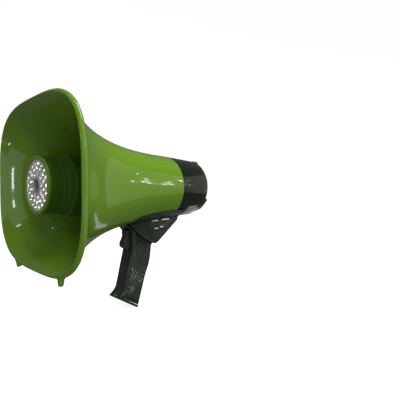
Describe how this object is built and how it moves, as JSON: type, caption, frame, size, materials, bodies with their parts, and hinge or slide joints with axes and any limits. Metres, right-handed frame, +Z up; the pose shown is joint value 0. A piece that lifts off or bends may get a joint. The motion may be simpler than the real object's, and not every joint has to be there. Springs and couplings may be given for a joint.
{
  "type": "hand-held electronic game caller",
  "caption": "Horn loudspeaker game caller with a lamp in its mouth, rear screen and keypad panel, and a pistol grip with a talk trigger.",
  "frame": {"origin": "centre of the base of the object's box, under the horn axis", "axes": "-Y out of the horn mouth along the horn axis, +Y towards the user, +Z up, +X to the side that carries the side keys"},
  "size_m": [0.24, 0.2924, 0.2947],
  "materials": {
    "horn_green": "gloss moulded plastic",
    "cup_green": "gloss moulded plastic, darker",
    "lamp_silver": "metallised reflector",
    "led": "clear LED",
    "board": "solder-masked circuit board",
    "lens_ring": "gloss light grey",
    "lens": "dark lens glass",
    "driver_metal": "plated steel",
    "magnet": "sintered ferrite",
    "diaphragm": "formed film",
    "case_black": "satin gloss, dark green black",
    "panel_black": "satin gloss, blue black",
    "key_black": "satin",
    "screen": "dark screen glass",
    "led_grey": "unlit lens",
    "led_lit": "lit yellow-green lens",
    "wheel_black": "ribbed matte",
    "trim_grey": "satin grey",
    "grip_black": "moulded satin",
    "pad_black": "chequered grip",
    "label_grey": "blue-grey label",
    "steel": "plated steel",
    "cell": "shrink-wrapped cell"
  },
  "bodies": {
    "root": {"horn_shell": "horn_green", "reflector_cup": "cup_green", "throat_tube": "cup_green", "lamp_bezel": "horn_green", "lamp_reflector": "lamp_silver", "lamp_leds": "led", "lamp_board": "board", "lens_barrel": "lens_ring", "lens_glass": "lens", "driver_frame": "driver_metal", "diaphragm": "diaphragm", "driver_magnet": "magnet", "driver_yoke": "driver_metal", "rear_case": "case_black", "rear_fascia": "panel_black", "mic_hood": "panel_black", "mic_capsule": "steel", "screen_bezel": "panel_black", "screen_glass": "screen", "screen_module": "steel", "main_board": "board", "low_led": "led_grey", "normal_led": "led_lit", "infrared_led": "led_grey", "volume_pot": "wheel_black", "trim_strip": "trim_grey", "handle_left": "grip_black", "handle_right": "grip_black", "side_plate": "grip_black", "side_board": "board", "label_plate": "label_grey", "trigger_pin": "steel", "trigger_spring": "steel", "trigger_switch": "grip_black", "grip_pad_left": "pad_black", "grip_pad_right": "pad_black", "backstrap": "grip_black", "battery_cells": "cell", "battery_contacts": "steel", "door_pin": "steel", "strap_pin": "steel", "handle_screws": "steel"},
    "left_key_1": {"left_key_1": "key_black"},
    "left_key_2": {"left_key_2": "key_black"},
    "left_key_3": {"left_key_3": "key_black"},
    "right_key_1": {"right_key_1": "key_black"},
    "right_key_2": {"right_key_2": "key_black"},
    "right_key_3": {"right_key_3": "key_black"},
    "power_button": {"power_button": "key_black"},
    "infrared_button": {"infrared_button": "key_black"},
    "side_key_1": {"side_key_1": "key_black"},
    "side_key_2": {"side_key_2": "key_black"},
    "side_key_3": {"side_key_3": "key_black"},
    "side_key_4": {"side_key_4": "key_black"},
    "volume_wheel": {"volume_wheel": "wheel_black"},
    "trigger": {"trigger": "grip_black"},
    "battery_door": {"battery_door": "grip_black"}
  },
  "joints": [
    {"name": "left_key_1_press", "type": "slide", "parent": "root", "child": "left_key_1", "axis": [0, -1, 0], "range_m": [0, 0.0008], "stiffness_N_per_m": 400, "springref_m": -0.0006},
    {"name": "left_key_2_press", "type": "slide", "parent": "root", "child": "left_key_2", "axis": [0, -1, 0], "range_m": [0, 0.0008], "stiffness_N_per_m": 400, "springref_m": -0.0006},
    {"name": "left_key_3_press", "type": "slide", "parent": "root", "child": "left_key_3", "axis": [0, -1, 0], "range_m": [0, 0.0008], "stiffness_N_per_m": 400, "springref_m": -0.0006},
    {"name": "right_key_1_press", "type": "slide", "parent": "root", "child": "right_key_1", "axis": [0, -1, 0], "range_m": [0, 0.0008], "stiffness_N_per_m": 400, "springref_m": -0.0006},
    {"name": "right_key_2_press", "type": "slide", "parent": "root", "child": "right_key_2", "axis": [0, -1, 0], "range_m": [0, 0.0008], "stiffness_N_per_m": 400, "springref_m": -0.0006},
    {"name": "right_key_3_press", "type": "slide", "parent": "root", "child": "right_key_3", "axis": [0, -1, 0], "range_m": [0, 0.0008], "stiffness_N_per_m": 400, "springref_m": -0.0006},
    {"name": "power_button_press", "type": "slide", "parent": "root", "child": "power_button", "axis": [0, -1, 0], "range_m": [0, 0.0008], "stiffness_N_per_m": 400, "springref_m": -0.0006},
    {"name": "infrared_button_press", "type": "slide", "parent": "root", "child": "infrared_button", "axis": [0, -1, 0], "range_m": [0, 0.0008], "stiffness_N_per_m": 400, "springref_m": -0.0006},
    {"name": "side_key_1_press", "type": "slide", "parent": "root", "child": "side_key_1", "axis": [-1, 0, 0], "range_m": [0, 0.0008], "stiffness_N_per_m": 400, "springref_m": -0.0006},
    {"name": "side_key_2_press", "type": "slide", "parent": "root", "child": "side_key_2", "axis": [-1, 0, 0], "range_m": [0, 0.0008], "stiffness_N_per_m": 400, "springref_m": -0.0006},
    {"name": "side_key_3_press", "type": "slide", "parent": "root", "child": "side_key_3", "axis": [-1, 0, 0], "range_m": [0, 0.0008], "stiffness_N_per_m": 400, "springref_m": -0.0006},
    {"name": "side_key_4_press", "type": "slide", "parent": "root", "child": "side_key_4", "axis": [-1, 0, 0], "range_m": [0, 0.0008], "stiffness_N_per_m": 400, "springref_m": -0.0006},
    {"name": "volume_turn", "type": "hinge", "parent": "root", "child": "volume_wheel", "pos_m": [0, 0.12195, 0.1558], "axis": [0, 0.7071, 0.7071], "range_deg": [-150, 150]},
    {"name": "trigger_pull", "type": "hinge", "parent": "root", "child": "trigger", "pos_m": [0, -0.00725, 0.1175], "axis": [1, 0, 0], "range_deg": [0, 8], "stiffness_Nm_per_rad": 1.2, "springref_deg": -4.58, "deforming": ["trigger_spring"]},
    {"name": "battery_door_open", "type": "hinge", "parent": "root", "child": "battery_door", "pos_m": [0, -0.03239, 0.02346], "axis": [-1, 0, 0], "range_deg": [0, 100]}
  ]
}
